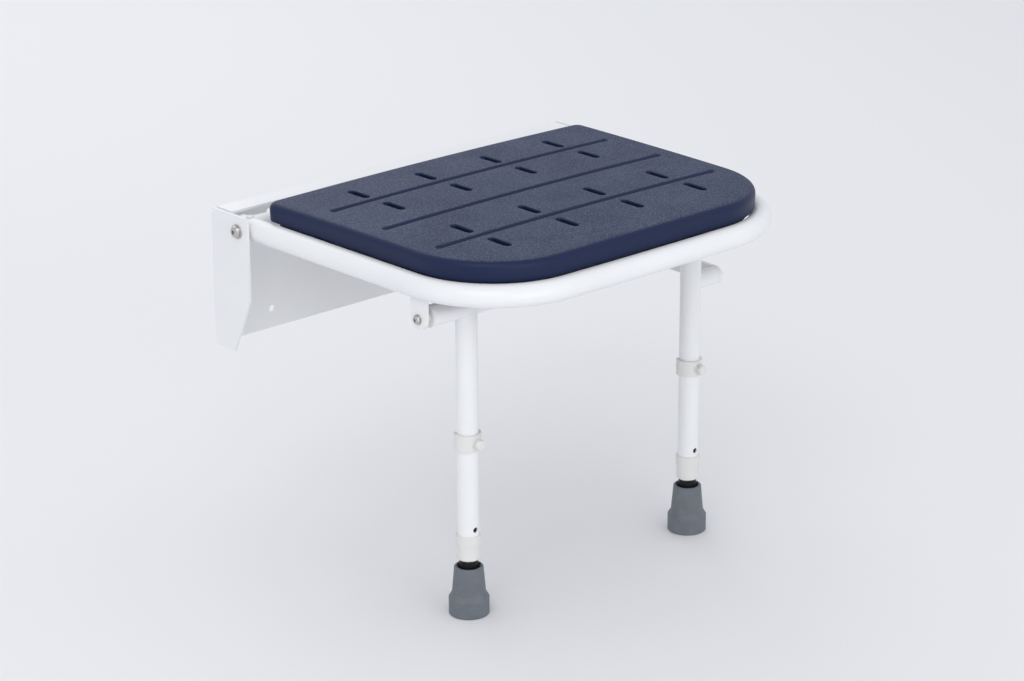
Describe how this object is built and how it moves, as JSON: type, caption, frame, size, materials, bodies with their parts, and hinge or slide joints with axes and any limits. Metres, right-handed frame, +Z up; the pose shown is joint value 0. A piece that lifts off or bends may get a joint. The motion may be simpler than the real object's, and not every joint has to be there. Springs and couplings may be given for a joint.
{
  "type": "fold-down wall seat",
  "caption": "Wall-mounted shower seat that folds up: bracket, tube frame with grooved pad, and telescopic legs kept upright by a side stay.",
  "frame": {"origin": "centre of the wall bracket's back face, in the plane of the wall", "axes": "+X along the wall to the right as seen by someone facing it, +Y into the wall, +Z up; the seat stands out towards -Y"},
  "size_m": [0.568, 0.4759, 0.457],
  "materials": {
    "white_powder_coat": "gloss powder coat",
    "navy_moulded_foam": "fine pebble grain, low sheen",
    "dark_board": "matte",
    "off_white_plastic": "satin",
    "stainless_fasteners": "satin",
    "black_inner_tube": "satin black",
    "grey_rubber": "matte"
  },
  "bodies": {
    "wall_bracket_body": {"wall_bracket": "white_powder_coat", "cheek_bushes": "off_white_plastic", "stay_ear": "white_powder_coat", "stay_rear_bolt": "stainless_fasteners", "stay_rear_nut": "stainless_fasteners", "stay_rear_washers": "stainless_fasteners"},
    "seat": {"seat_frame_tube": "white_powder_coat", "rear_cross_tube": "white_powder_coat", "pivot_inserts": "stainless_fasteners", "frame_end_caps": "off_white_plastic", "vent_plugs": "off_white_plastic", "pad_support_bars": "white_powder_coat", "right_leg_lug": "white_powder_coat", "left_leg_lug": "white_powder_coat", "seat_pad": "navy_moulded_foam", "seat_base_board": "dark_board", "pad_screws": "stainless_fasteners", "seat_pivot_washers": "stainless_fasteners", "seat_pivot_bolts": "stainless_fasteners"},
    "legs": {"leg_crossbar": "white_powder_coat", "crossbar_end_plugs": "off_white_plastic", "leg_pivot_spacers": "off_white_plastic", "leg_pivot_washers": "stainless_fasteners", "leg_pivot_bolts": "stainless_fasteners", "right_outer_leg": "white_powder_coat", "left_outer_leg": "white_powder_coat", "right_lower_collar": "off_white_plastic", "left_lower_collar": "off_white_plastic", "right_leg_clip": "off_white_plastic", "left_leg_clip": "off_white_plastic", "stay_stub": "white_powder_coat", "stay_stub_plug": "stainless_fasteners", "stay_front_washer": "stainless_fasteners", "stay_front_bolt": "stainless_fasteners"},
    "right_foot_leg": {"right_inner_tube": "black_inner_tube", "right_tube_glide": "off_white_plastic", "right_rubber_foot": "grey_rubber", "right_foot_washer": "stainless_fasteners"},
    "left_foot_leg": {"left_inner_tube": "black_inner_tube", "left_tube_glide": "off_white_plastic", "left_rubber_foot": "grey_rubber", "left_foot_washer": "stainless_fasteners"},
    "right_pin": {"right_lock_pin": "stainless_fasteners", "right_lock_knob": "off_white_plastic"},
    "left_pin": {"left_lock_pin": "stainless_fasteners", "left_lock_knob": "off_white_plastic"},
    "stay": {"leg_stay": "white_powder_coat"}
  },
  "joints": [
    {"name": "seat_fold", "type": "hinge", "parent": "wall_bracket_body", "child": "seat", "pos_m": [0, -0.0528, 0.0667], "axis": [-1, 0, 0], "range_deg": [0, 90]},
    {"name": "leg_swing", "type": "hinge", "parent": "seat", "child": "legs", "pos_m": [0, -0.347, 0.0275], "axis": [-1, 0, 0], "range_deg": [-90, 0]},
    {"name": "stay_swing", "type": "hinge", "parent": "wall_bracket_body", "child": "stay", "pos_m": [0.2225, -0.0528, 0.0111], "axis": [-1, 0, 0], "range_deg": [0, 90]},
    {"name": "right_leg_extension", "type": "slide", "parent": "legs", "child": "right_foot_leg", "axis": [0, 0, -1], "range_m": [0, 0.12]},
    {"name": "left_leg_extension", "type": "slide", "parent": "legs", "child": "left_foot_leg", "axis": [0, 0, -1], "range_m": [0, 0.12]},
    {"name": "right_pin_pull", "type": "slide", "parent": "legs", "child": "right_pin", "axis": [0, -1, 0], "range_m": [0, 0.005], "stiffness_N_per_m": 1500, "springref_m": -0.002},
    {"name": "left_pin_pull", "type": "slide", "parent": "legs", "child": "left_pin", "axis": [0, -1, 0], "range_m": [0, 0.005], "stiffness_N_per_m": 1500, "springref_m": -0.002}
  ],
  "couplings": [
    {"joint": "leg_swing", "follows": "seat_fold", "ratio": -1},
    {"joint": "stay_swing", "follows": "seat_fold", "ratio": 1}
  ]
}
